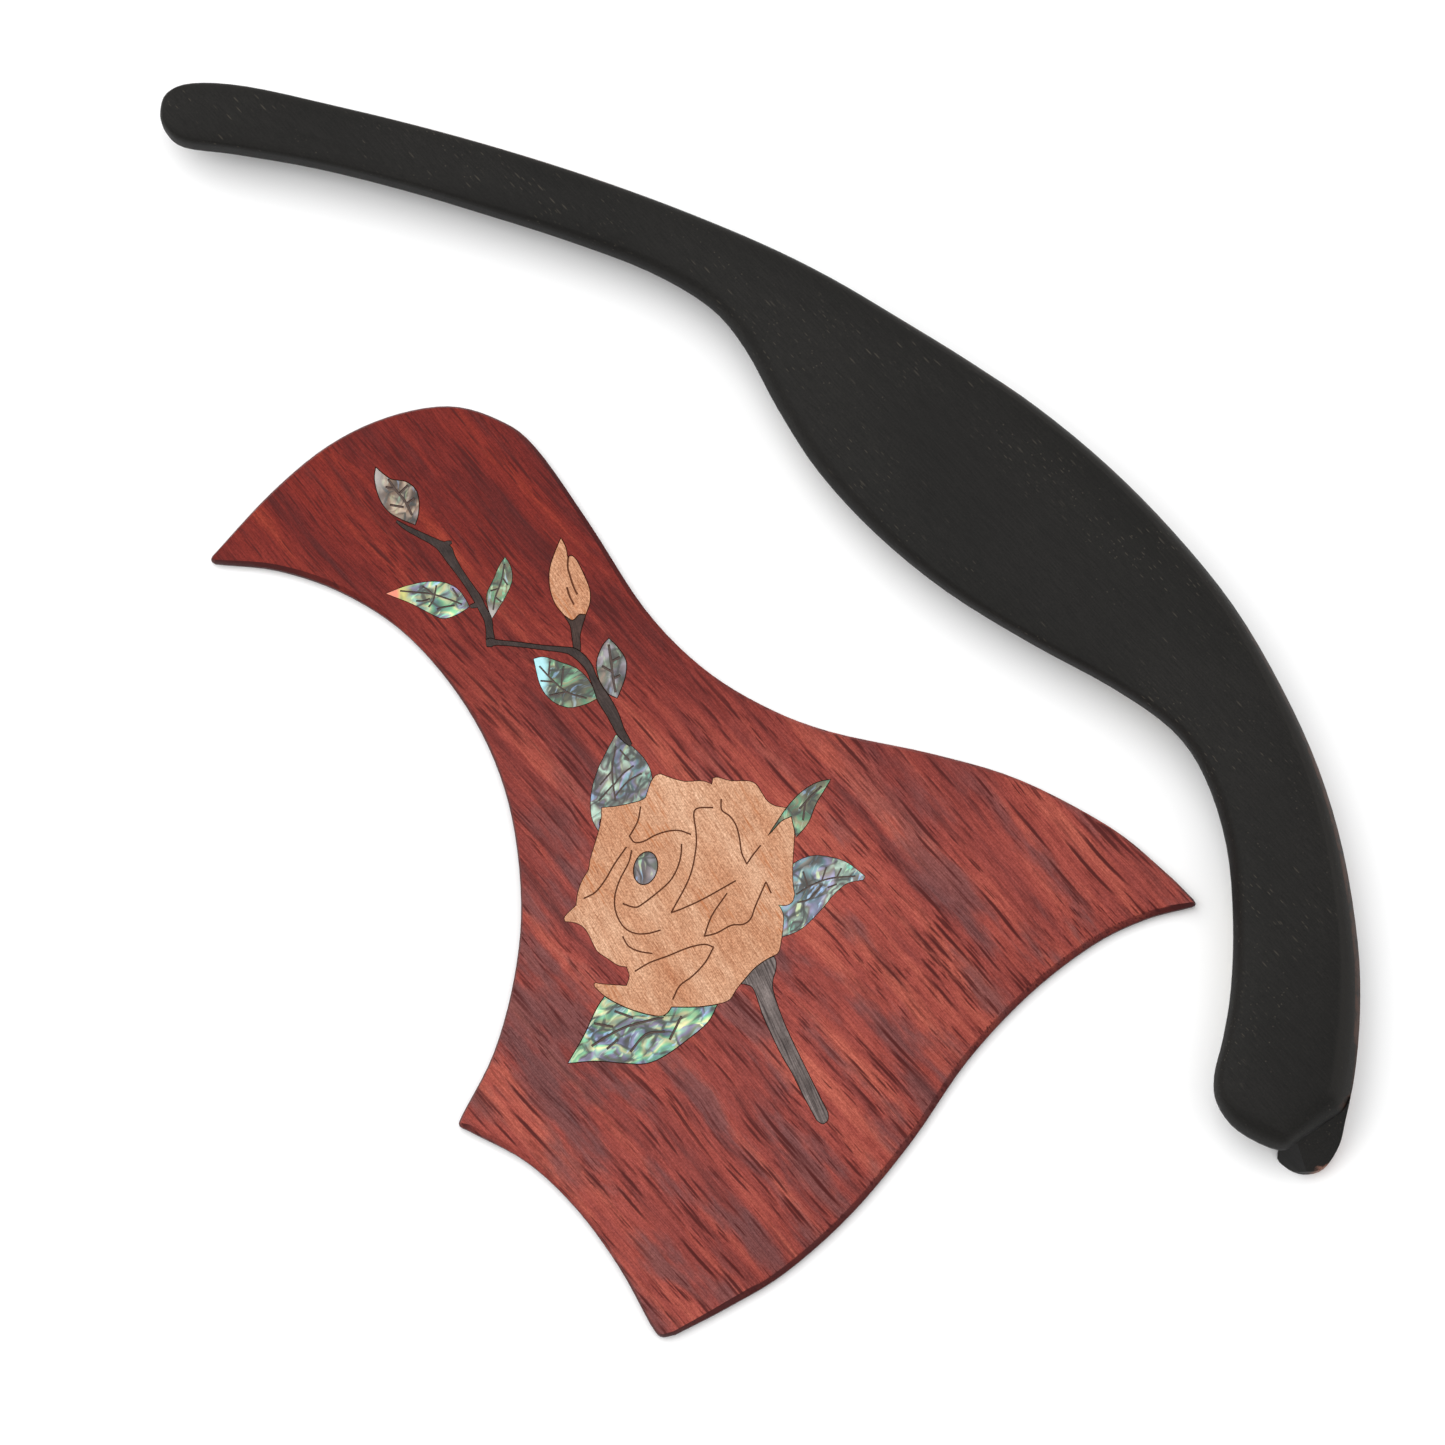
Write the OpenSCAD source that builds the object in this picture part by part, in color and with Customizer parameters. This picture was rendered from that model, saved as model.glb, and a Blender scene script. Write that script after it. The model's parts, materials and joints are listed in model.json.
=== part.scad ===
// Stick-on pickguard and armrest for a steel-string acoustic guitar.
// Both pieces lie on one flat surface, as they are laid out before fitting.
// Millimetres. +X and +Y lie in that surface and +Z is up.

/* [Pickguard] */
// Thickness of the red wood plate
guard_t = 2.0; // [1.6:0.1:3]
// Width of the sanded bevel round the plate's top edge, before each edge's own share
bevel_w = 1.0; // [0.6:0.1:1.3]
// Height of that bevel
bevel_h = 0.8; // [0.5:0.1:1]

/* [Inlay] */
// Depth of the pockets that the inlay sits in
pocket_depth = 1.0; // [0.6:0.1:1.2]
// Glue gap round each inlaid piece
inlay_gap = 0.1; // [0.06:0.02:0.14]
// Width of the lines cut into the rose and the bud
line_w = 0.22; // [0.18:0.01:0.4]
// Width of the veins cut into the shell leaves
vein_w = 0.3; // [0.2:0.01:0.5]
// Depth of those lines and veins
line_depth = 0.25; // [0.15:0.05:0.4]

/* [Armrest] */
// Thickness of the black board at its middle line
board_t = 5.0; // [4.5:0.1:6]
// How much lower the board's flat edge is than its middle line
board_crown = 0.5; // [0.2:0.1:0.8]
// How far the lip hangs below the board, over the guitar's side
lip_depth = 7.5; // [6.5:0.5:9]
// Thickness of the lip at the elbow end
lip_w = 8.0; // [6:0.5:9]

/* [Adhesive] */
// Thickness of the double-sided tape
tape_t = 0.3; // [0.2:0.05:0.4]
// Thickness of the paper liner on the tape
liner_t = 0.1; // [0.1:0.05:0.2]
// Width of the tape under the pickguard
tape_w = 12; // [8:1:14]

/* [Hidden] */

cut = 0.5;                              // overshoot of a cutting solid
guard_z = liner_t + tape_t;             // underside of the plate
guard_top = guard_z + guard_t;          // top face of the plate and of the inlay
board_z = lip_depth;                    // underside of the board
board_top = board_z + board_t;

// ---- curves ----

function spline_point(a, b, c, d, t) =
    0.5 * (2 * b + (c - a) * t + (2 * a - 5 * b + 4 * c - d) * t * t + (3 * b - a - 3 * c + d) * t * t * t);

// A smooth curve through points p, without its last point, so that runs can be joined end to end.
function run(p, steps = 5) = let (n = len(p)) [
    for (i = [0 : n - 2])
        let (a = i == 0 ? 2 * p[0] - p[1] : p[i - 1], d = i == n - 2 ? 2 * p[n - 1] - p[n - 2] : p[i + 2])
            for (s = [0 : steps - 1]) spline_point(a, p[i], p[i + 1], d, s / steps)
];

// The same with its last point.
function curve(p, steps = 5) = concat(run(p, steps), [p[len(p) - 1]]);

// A smooth curve that closes on itself.
function loop(p, steps) = let (n = len(p)) [
    for (i = [0 : n - 1]) for (s = [0 : steps - 1])
        spline_point(p[(i + n - 1) % n], p[i], p[(i + 1) % n], p[(i + 2) % n], s / steps)
];

// Runs joined into one closed outline. Neighbouring runs share an end point, which is a corner.
function outline(runs, steps = 5) = [for (r = runs) each run(r, steps)];

function flat(p) = [for (q = p) [q[0], q[1]]];
function unit(v) = v / max(norm(v), 1e-9);
function left_of(v) = [-v[1], v[0]];

// A closed outline moved sideways by d, or by d times each point's third value when it has one.
// Outlines run clockwise, so a positive d moves them outwards.
function shifted(p, d) = let (n = len(p)) [
    for (i = [0 : n - 1])
        let (a = p[(i + n - 1) % n], b = p[(i + 1) % n], along = unit([b[0] - a[0], b[1] - a[1]]))
            [p[i][0], p[i][1]] + left_of(along) * d * (len(p[i]) > 2 ? p[i][2] : 1)
];

// A band along an open line. A point's third value is the band's width there.
function band(p) = let (
    n = len(p),
    side = [for (i = [0 : n - 1])
        let (a = p[max(i - 1, 0)], b = p[min(i + 1, n - 1)])
            left_of(unit([b[0] - a[0], b[1] - a[1]])) * p[i][2] / 2]
) concat(
    [for (i = [0 : n - 1]) [p[i][0], p[i][1]] + side[i]],
    [for (i = [n - 1 : -1 : 0]) [p[i][0], p[i][1]] - side[i]]
);

function with_width(p, w) = [for (q = p) [q[0], q[1], w]];

module prism(points, z0, z1) {
    translate([0, 0, z0]) linear_extrude(z1 - z0) polygon(points);
}

// A closed band of material that follows an outline, given as rings of points. The last ring joins the first.
module hoop(rings) {
    n = len(rings[0]);
    count = len(rings);
    polyhedron(
        points = [for (r = rings) each r],
        faces = [for (k = [0 : count - 1]) for (i = [0 : n - 1])
            let (j = (i + 1) % n, a = k * n, b = (k + 1) % count * n)
                each [[a + i, b + i, b + j], [a + i, b + j, a + j]]],
        convexity = 8
    );
}

function at_height(p, z) = [for (q = p) [q[0], q[1], z]];

// ---- pickguard plate ----

// Each edge's points are [x, y, share of bevel_w].
guard_runs = [
    // round the upper horn and down the edge that faces away from the soundhole
    [[-95.3, 27.4, 0.3], [-85.3, 38.7, 0.5], [-75.5, 47.2, 0.5], [-65.2, 52.4, 0.5], [-54.5, 54.4, 0.5],
     [-45.8, 52, 0.5], [-39.2, 47, 0.7], [-29.7, 33.3, 0.9], [-20, 18, 0.9], [-10.3, 7.8, 0.8],
     [0.3, 0.9, 0.7], [12, -3.8, 0.6], [30, -7.8, 0.6], [45, -12.4, 0.7], [60.4, -20.7, 0.7],
     [69.6, -28.4, 0.6], [74.5, -33.3, 0.5]],
    // right tip
    [[74.5, -33.3, 0.5], [74.9, -34.1, 0.4], [74.3, -34.5, 0.6]],
    // short hollow edge below the right tip, then the long bulging one
    [[74.3, -34.5, 0.6], [66, -36.8, 1.3], [57, -41.3, 1.3], [46.1, -49.8, 1.3], [35.4, -61.3, 1.3],
     [25.9, -75, 1.3], [15.5, -87.5, 1.2], [4.3, -97.5, 1.1], [-5.6, -103.5, 0.9], [-14.5, -108.1, 0.5]],
    // bottom tip
    [[-14.5, -108.1, 0.5], [-17, -108.4, 0.3], [-18.7, -106.3, 0.3]],
    // lower hollow edge
    [[-18.7, -106.3, 0.3], [-24.1, -96.5, 0.5], [-31.3, -86.7, 0.7], [-39.8, -78.7, 0.9],
     [-49.8, -73.3, 0.9]],
    // lower left tip
    [[-49.8, -73.3, 0.9], [-51.4, -72.4, 0.5], [-51, -70.9, 0.4]],
    // edge that follows the rosette
    [[-51, -70.9, 0.4], [-45.6, -60, 0.4], [-42.2, -47, 0.4], [-41.1, -34, 0.4], [-42.8, -19, 0.4],
     [-47, -6.3, 0.4], [-53.8, 5, 0.5], [-62.6, 14.6, 0.7], [-73, 21.2, 0.8], [-84, 25, 0.7],
     [-94.8, 26.2, 0.4]],
    // upper left tip
    [[-94.8, 26.2, 0.4], [-95.5, 26.7, 0.3], [-95.3, 27.4, 0.3]]
];
guard_outline = outline(guard_runs);

module plate_blank() {
    knuckle = 0.3;                      // how much of the bevel's width turns over its top quarter
    outside = [for (p = guard_outline) [p[0], p[1], 1]];
    difference() {
        prism(flat(guard_outline), guard_z, guard_top);
        hoop([
            at_height(guard_outline, guard_top - bevel_h),
            at_height(shifted(guard_outline, -bevel_w * (1 - knuckle)), guard_top - bevel_h / 4),
            at_height(shifted(guard_outline, -bevel_w), guard_top),
            at_height(shifted(guard_outline, -bevel_w), guard_top + cut),
            at_height(shifted(outside, cut), guard_top + cut),
            at_height(shifted(outside, cut), guard_top - bevel_h)
        ]);
    }
}

// ---- inlay outlines, all at the plate's top face ----

rose_outline = outline([
    [[-18.1, -11.8], [-17.2, -11.5], [-15.6, -12.1], [-13, -12.8], [-10, -12.7], [-8.3, -13.3]],
    [[-8.3, -13.3], [-8.1, -12.2]],
    [[-8.1, -12.2], [-7.2, -12.1], [-5, -12.7], [-2.3, -12.7], [-0.8, -13.2], [0.3, -14.8], [1.2, -16.2],
     [2.6, -17.1], [4.5, -17.4]],
    [[4.5, -17.4], [5.6, -19], [5.9, -22], [5.6, -27], [5.6, -30.4], [5.9, -32.6]],
    [[5.9, -32.6], [5.5, -33.9], [4.4, -34.5], [3.1, -34.4]],
    [[3.1, -34.4], [3.7, -35.4], [4, -36.8], [3.8, -39.2], [3.3, -42.2], [2.8, -43]],
    [[2.8, -43], [1.2, -43.8], [-0.9, -45.3], [-2.6, -47.2], [-4.2, -49.2], [-5.2, -50.8], [-7.2, -51.6],
     [-11, -52.1], [-15.2, -52.1]],
    [[-15.2, -52.1], [-16, -53.2], [-17.2, -53.7], [-20, -53.2], [-23.2, -52.1], [-26.4, -50.4],
     [-28.4, -48.6]],
    [[-28.4, -48.6], [-28.3, -48], [-27, -48.2], [-22.9, -48.5]],
    [[-22.9, -48.5], [-22.4, -46.8], [-22.9, -45.2]],
    [[-22.9, -45.2], [-24.4, -44.9], [-26.2, -43.7], [-28, -42.4], [-29, -40.4], [-30.2, -38.4],
     [-31.8, -37.5], [-33.5, -37.3]],
    [[-33.5, -37.3], [-33.5, -36.4], [-31.6, -34.5]],
    [[-31.6, -34.5], [-31.3, -32.2], [-30.5, -30], [-29.5, -28.3], [-29.2, -26.4], [-28.2, -23],
     [-27.4, -19.8], [-27.3, -17.4]],
    [[-27.3, -17.4], [-25, -17.2], [-22.5, -16.7], [-20, -15.9], [-19.4, -14.6], [-18.8, -12.9],
     [-18.1, -11.8]]
], 3);

// Lines cut into the rose, each an open curve.
rose_lines = [
    [[-20.6, -17.2], [-20.9, -19.2], [-21.5, -20.7], [-22.5, -22.4]],
    [[-22.5, -22.4], [-21.6, -23.5], [-20, -23.3], [-18.2, -22.3], [-16.2, -21.6], [-14, -21.4],
     [-11.9, -22.1]],
    [[-8.1, -17.4], [-10.2, -17.4], [-11.2, -17.8], [-11.4, -19], [-11, -22], [-11.1, -25], [-12.2, -29.8],
     [-15.3, -35.8]],
    [[-15.3, -35.8], [-13.2, -35], [-9.6, -33.3], [-4.2, -30.2]],
    [[-6.7, -15.9], [-6.6, -17.8], [-5.2, -18.9], [-4.1, -20.6], [-3.5, -23], [-3.2, -25.2], [-2.3, -27.3]],
    [[-2.3, -27.3], [-1.3, -25.8], [0.1, -24]],
    [[-5.7, -32.4], [-8.3, -36.3], [-9.6, -39.9]],
    [[-9.6, -39.9], [-7.4, -39.3], [-5, -38], [-2.9, -37.8], [-1.6, -36.8], [-0.8, -34.6], [1, -30.4]],
    [[1, -30.4], [1.5, -31.5], [1.9, -32.4]],
    [[-13.5, -23.8], [-13.7, -26.2], [-14.6, -28.8], [-16.2, -31], [-20.4, -34.4], [-21.8, -34.8],
     [-23.6, -34.2]],
    [[-22.1, -24.9], [-22.6, -27], [-24.2, -30.2], [-25, -33.2], [-24.7, -36], [-23.3, -38.4],
     [-21.4, -39.4], [-19.2, -39.4], [-17.1, -38.8]],
    [[-23, -24.3], [-25, -27.2], [-26.6, -30], [-28.3, -32.2], [-30.3, -33.3]],
    [[-23.6, -39.9], [-22.6, -41.6], [-20.8, -42.5], [-18.5, -42.9]],
    [[-21.5, -46], [-19, -44.5], [-15.8, -43.3], [-12.4, -41.9], [-9.6, -41.3], [-8, -41.8]],
    [[-8, -41.8], [-9.4, -44.4], [-11.6, -46.8], [-13.8, -48.5], [-15, -50.9]]
];

bud_outline = outline([
    [[-34.6, 30.5], [-33.8, 28.9], [-33.4, 27]],
    [[-33.4, 27], [-32.8, 27.3], [-32, 26.7], [-30.8, 24.4], [-29.6, 21.4], [-29.5, 19], [-30.2, 16.8]],
    [[-30.2, 16.8], [-31.4, 16.8], [-32.5, 15.8], [-34, 16.7]],
    [[-34, 16.7], [-35.6, 18.8], [-36.5, 21.8], [-36.5, 25], [-35.6, 28], [-34.6, 30.5]]
], 4);

bud_lines = [
    [[-33.2, 27.8], [-33.4, 25.4], [-32.9, 23.4], [-32.3, 21.6], [-31.7, 20.4]],
    [[-33.5, 21.6], [-33, 20], [-32.3, 18.6]]
];

calyx_outline = outline([
    [[-34, 16.7], [-32.5, 15.8], [-31.4, 16.8], [-30.2, 16.8]],
    [[-30.2, 16.8], [-30.8, 14.8], [-31.2, 12.9], [-31.1, 11.2], [-31.2, 9.8]],
    [[-31.2, 9.8], [-32.3, 10.2]],
    [[-32.3, 10.2], [-32.4, 11.5], [-32.6, 13], [-32.9, 14.8], [-34, 16.7]]
], 4);

// Twigs: each a list of bands, whose points are [x, y, width].
upper_twigs = [
    [[-63.3, 33.5, 0.3], [-61.4, 32.2, 0.8], [-59.1, 31, 1], [-56.4, 29.6, 1.3], [-54.7, 28.4, 2.1],
     [-53.8, 26.8, 1.7], [-52.4, 24.6, 1.3], [-50.8, 22.3, 1.2], [-49.1, 19.7, 1.4], [-48.2, 17.9, 1.3],
     [-47.2, 15.9, 1.3], [-46.9, 13.9, 1.2], [-46.7, 12.2, 1.5]],
    [[-55.4, 29, 1], [-54.4, 29.5, 0.8], [-53.6, 29.7, 0.4]],
    [[-50.3, 18.2, 0.5], [-49.5, 18.4, 0.8], [-48.4, 18.7, 1]]
];
lower_twigs = [
    [[-47.5, 11.7, 1.2], [-46.6, 11.8, 1.5], [-45.5, 11.8, 0.9], [-41.3, 11.4, 0.8], [-37.6, 10.9, 0.8],
     [-33.9, 10.5, 1], [-32.4, 10.1, 1.4], [-30.9, 9, 1.5], [-29.7, 7.5, 1.3], [-28.9, 5.7, 1.2],
     [-28, 3.7, 1.5], [-27, 1.7, 2.1], [-25.7, -0.5, 2], [-24.9, -2.2, 1.8], [-24.1, -4, 1.5],
     [-23.2, -5.3, 1.2], [-22.3, -6.4, 0.5]]
];

stem_outline = outline([
    [[-3.6, -48.1], [0, -44.5], [2.4, -43.4]],
    [[2.4, -43.4], [2.7, -44.5], [2.6, -45.9], [2.2, -47.2], [2.1, -48.8], [2.7, -51.1], [3.6, -53.7],
     [4.8, -56.6], [7.7, -62.7], [10.2, -67.8], [11.5, -70.4]],
    [[11.5, -70.4], [11.5, -71.6], [10.6, -72.3], [9.6, -71.7]],
    [[9.6, -71.7], [7.1, -67], [5.4, -63.5], [3.7, -60.6], [1.4, -55.8], [0.3, -53.2], [-0.4, -51],
     [-1.3, -48.8], [-2.6, -48.2], [-3.6, -48.1]]
], 4);

// Shell leaves: [outline, veins].
leaf_top_shape = [outline([
    [[-67, 43.2], [-65.8, 42.1], [-64.2, 41], [-61.8, 40.6], [-60, 39.2], [-59.4, 37], [-59.5, 34.6],
     [-60, 32.8]],
    [[-60, 32.8], [-62.4, 33.8], [-64.8, 35.3], [-66.4, 37.8], [-67.2, 41], [-67, 43.2]]
], 4), [
    [[-64.8, 41], [-63.4, 39], [-61.8, 37], [-60.6, 34.6]],
    [[-65.2, 39.6], [-63.6, 39.3]],
    [[-62.9, 38.4], [-61.4, 39.9]],
    [[-64.4, 36.4], [-62.1, 36]],
    [[-61.6, 36.6], [-60.2, 37.6]]
]];
leaf_left_shape = [outline([
    [[-64.9, 20.5], [-61.6, 21.8], [-57.8, 22.6], [-54.6, 22.4], [-52.2, 21], [-50.4, 18.2]],
    [[-50.4, 18.2], [-52.6, 16.8], [-55, 16.1], [-57.2, 17], [-60.6, 18.8], [-64.9, 20.5]]
], 4), [
    [[-62.5, 21], [-59.3, 20.7], [-56.8, 20.4], [-54.3, 19.6], [-51.7, 18.6]],
    [[-58.6, 21.8], [-57.7, 21.2], [-56.9, 20.4]],
    [[-56.2, 22], [-56.4, 20.7], [-56.7, 19.3], [-57.5, 18.1]],
    [[-53.4, 21.5], [-52.4, 19.9]],
    [[-59.7, 19.2], [-58.5, 19.2], [-57.3, 19.6]],
    [[-56.1, 17.7], [-55, 18.1], [-53, 18.4]]
]];
leaf_inner_shape = [outline([
    [[-44.3, 27], [-43.3, 25.2], [-43.1, 22.8], [-44.2, 20], [-45.6, 17.6], [-46.5, 16.1]],
    [[-46.5, 16.1], [-47.2, 18.2], [-47.4, 20.4], [-46.2, 23.2], [-45.2, 25.6], [-44.3, 27]]
], 4), [
    [[-44.4, 25.8], [-44.9, 22.8], [-45.9, 20], [-46.3, 17.6]],
    [[-44.6, 23.2], [-43.8, 22]],
    [[-45.4, 21.4], [-46.8, 21]],
    [[-45.8, 19.8], [-44.9, 19]]
]];
leaf_fork_left_shape = [outline([
    [[-39.2, 8.9], [-37.4, 9.2], [-34.6, 8.3], [-32, 7.3], [-30.2, 5.8], [-28.9, 3.8], [-28.1, 1.9]],
    [[-28.1, 1.9], [-30.4, 0.8], [-33.2, 0.3], [-36, 1.5], [-38, 4.2], [-39.2, 8.9]]
], 4), [
    [[-38.2, 7.6], [-36, 5.2], [-33.4, 3], [-30, 1.9]],
    [[-36.4, 8.4], [-36.6, 5.8]],
    [[-34, 7.6], [-34.4, 4]],
    [[-38, 5], [-35.6, 4.8]],
    [[-36.4, 2.4], [-33.6, 3]]
]];
leaf_fork_right_shape = [outline([
    [[-26.2, 12.6], [-24.6, 10.9], [-23.2, 8.6], [-23.3, 5.8], [-24.1, 3.4], [-24.7, 1.9]],
    [[-24.7, 1.9], [-26.6, 3], [-27.9, 5.4], [-28.3, 8.2], [-27.4, 11], [-26.2, 12.6]]
], 4), [
    [[-26.2, 11.4], [-25.8, 8.4], [-25.4, 5.4], [-25, 3]],
    [[-25.8, 8.4], [-24.3, 9.2]],
    [[-25.6, 6.6], [-27.3, 7.6]],
    [[-25.4, 5.4], [-24.2, 6]]
]];
leaf_shoulder_shape = [outline([
    [[-24.9, -4.6], [-22.4, -6.4], [-20, -8.8], [-18.8, -11.4], [-18.8, -14], [-20, -16.6]],
    [[-20, -16.6], [-27, -18.8], [-27.7, -21.8]],
    [[-27.7, -21.8], [-29, -19], [-29.1, -15], [-28, -10.8], [-26.3, -7.2], [-24.9, -4.6]]
], 4), [
    [[-24.9, -6.6], [-25.5, -10.4], [-25.3, -13.6], [-24.9, -16.2]],
    [[-25.2, -13.4], [-23.6, -11.4], [-21.8, -10]],
    [[-25, -15.4], [-22.8, -12.8], [-20.4, -11.4]],
    [[-25.6, -11], [-27.6, -13.4]],
    [[-25.4, -13.4], [-27.8, -16.2]],
    [[-24.2, -7.2], [-22.6, -9]]
]];
leaf_thorn_shape = [outline([
    [[12.2, -12.4], [11, -14.4], [9.6, -16.8], [8.3, -20], [6.2, -22.6]],
    [[6.2, -22.6], [5.8, -20.6], [5.4, -18.9]],
    [[5.4, -18.9], [3.6, -19.8], [1.4, -22.3]],
    [[1.4, -22.3], [3.4, -19.2], [5, -16.9], [7.2, -14.6], [9.8, -13], [12.2, -12.4]]
], 4), [
    [[10.6, -13.6], [8.6, -15.6], [6.8, -17.6]],
    [[7.8, -16.6], [7.4, -19.6]]
]];
leaf_right_shape = [outline([
    [[5.2, -27.6], [7.2, -26.4], [9.6, -25.8], [12.6, -26.2], [15.2, -27.2], [18, -29.4]],
    [[18, -29.4], [17.6, -30], [15, -30.6], [12.6, -32.6], [10.4, -35.3], [7, -38.6], [3.5, -40.1]],
    [[3.5, -40.1], [2.9, -38], [3.2, -34.4]],
    [[3.2, -34.4], [4, -30], [5.2, -27.6]]
], 4), [
    [[6.2, -32.6], [8.8, -31], [12, -29.8], [16.4, -29.4]],
    [[6.4, -34], [8.4, -33.4], [10.6, -31]],
    [[8.2, -31.2], [7.4, -28.6]],
    [[10.6, -30.2], [11.4, -27.8]],
    [[13.2, -29.6], [14, -28]],
    [[11.6, -31.4], [13.2, -30.8]]
]];
leaf_bottom_shape = [outline([
    [[-32.9, -61.9], [-30.2, -57.2], [-28.2, -52.8], [-26.6, -50.2]],
    [[-26.6, -50.2], [-20, -50.6], [-7.2, -51.4]],
    [[-7.2, -51.4], [-9, -54.8], [-12.6, -57.9], [-16.2, -60.5], [-19.4, -61.9], [-23, -61.9], [-28, -61.5],
     [-32.9, -61.9]]
], 4), [
    [[-28.8, -58.9], [-25.8, -57], [-22.4, -55.4], [-16.6, -53.9]],
    [[-24.9, -52.9], [-21.8, -54]],
    [[-28.4, -55], [-25.2, -55.6]],
    [[-26.2, -59.4], [-24.4, -57.8]],
    [[-22.2, -59.9], [-19.6, -56.9], [-16.4, -56.4]],
    [[-15.5, -57.8], [-13.5, -53.8]]
]];

leaf_shapes = [
    leaf_top_shape, leaf_left_shape, leaf_inner_shape, leaf_fork_left_shape, leaf_fork_right_shape,
    leaf_shoulder_shape, leaf_thorn_shape, leaf_right_shape, leaf_bottom_shape
];

heart_centre = [-19.7, -28];
heart_size = [2, 2.9];
heart_tilt = -14;

// ---- inlay solids ----

// Grown by more than nothing, each of these is the pocket for its inlay and stands proud of the plate's top.
function inlay_top(grow) = guard_top + (grow > 0 ? cut : 0);

module inlay(points, grow = 0) {
    prism(grow == 0 ? points : shifted(points, grow), guard_top - pocket_depth, inlay_top(grow));
}

module lines(curves, width) {
    for (c = curves) prism(band(with_width(curve(c, 4), width)), guard_top - line_depth, guard_top + cut);
}

module twigs(bands, grow = 0) {
    for (b = bands) {
        wide = [for (q = curve(b, 4)) [q[0], q[1], q[2] + 2 * grow]];
        prism(band(wide), guard_top - pocket_depth, inlay_top(grow));
    }
}

module heart(grow = 0) {
    size = [heart_size[0] + grow, heart_size[1] + grow];
    oval = [for (a = [0 : 12 : 348]) [size[0] * cos(a), size[1] * sin(a)]];
    translate([heart_centre[0], heart_centre[1], 0])
        rotate(heart_tilt)
            prism(oval, guard_top - pocket_depth, inlay_top(grow));
}

// A shell leaf, trimmed where the rose, the twigs or another leaf lies over it.
module shell_leaf(shape) {
    color("lightseagreen")
        placed() difference() {
            inlay(shape[0]);
            lines(shape[1], vein_w);
            inlay(rose_outline, inlay_gap);
            twigs(upper_twigs, inlay_gap);
            twigs(lower_twigs, inlay_gap);
        }
}

// ---- armrest ----

// Matching points along the edge over the guitar's side and the edge over its top, from the thin end
// to the elbow end: [x, y, width of the rounding or bevel].
outer_edge = [
    [-105.1, 105.3, 0.8], [-104, 108.8, 0.8], [-99.5, 110.6, 0.8], [-90, 110, 0.8], [-75, 106.6, 0.8],
    [-60, 102.8, 0.8], [-45, 98.5, 0.9], [-30, 93.6, 1], [-15, 88, 1.1], [0.2, 81.5, 1.2],
    [12.3, 75.3, 1.3], [24.3, 68, 1.5], [36.4, 60.3, 1.7], [48.4, 51.9, 1.9], [60.5, 41.5, 2.1],
    [71.6, 29.8, 2.3], [81.7, 16.8, 2.5], [89.8, 2.3, 2.7], [95.8, -11.8, 2.9], [99.8, -26.4, 3.3],
    [101.9, -42, 3.8], [102, -54, 4.4], [100.8, -65, 4.8], [99.2, -70.2, 4.6], [95.6, -73, 3.6],
    [91.4, -75.8, 2.6], [87.8, -77.6, 2.4]
];
inner_edge = [
    [-105.1, 105.3, 0.8], [-104.3, 102.5, 0.8], [-101, 99.8, 0.8], [-91.8, 98.5, 0.6], [-77.6, 95.9, 0.6],
    [-62.5, 92, 0.7], [-47.6, 87.4, 0.9], [-33.5, 82.7, 1.2], [-19.5, 77.2, 1.6], [-8.8, 70.7, 2],
    [-2.6, 63.2, 2.5], [3.2, 52.2, 2.6], [10.2, 41, 2.4], [20.1, 29.9, 1.8], [32.3, 19.6, 1.2],
    [46.6, 10.5, 1], [60.5, 2.7, 1], [70.8, -4.8, 1.2], [76.3, -13.1, 1.8], [79.8, -25, 2.2],
    [80.7, -38, 2.3], [80.1, -50, 2.2], [78.6, -58.5, 2.1], [77, -64.8, 1.8], [77.4, -69.6, 1.8],
    [80.9, -74.3, 2.2], [87.8, -77.6, 2.4]
];
side = len(outer_edge) - 1;
board_outline = loop(concat(
    [for (i = [0 : side - 1]) outer_edge[i]],
    [for (i = [side : -1 : 1]) inner_edge[i]]
), 4);

// The rounding and bevel, from the vertical side up to the flat: [share of its width, share of its height].
roll = [[0, 0], [0.3, 0.55], [0.62, 0.86], [1, 1]];
roll_steepness = 1.1;                   // height for each millimetre of width
roll_least = 0.3;                       // height added everywhere
roll_most = 4;                          // greatest height
crown_span = 10;                        // the crown has its full height where the flat is this wide

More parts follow.
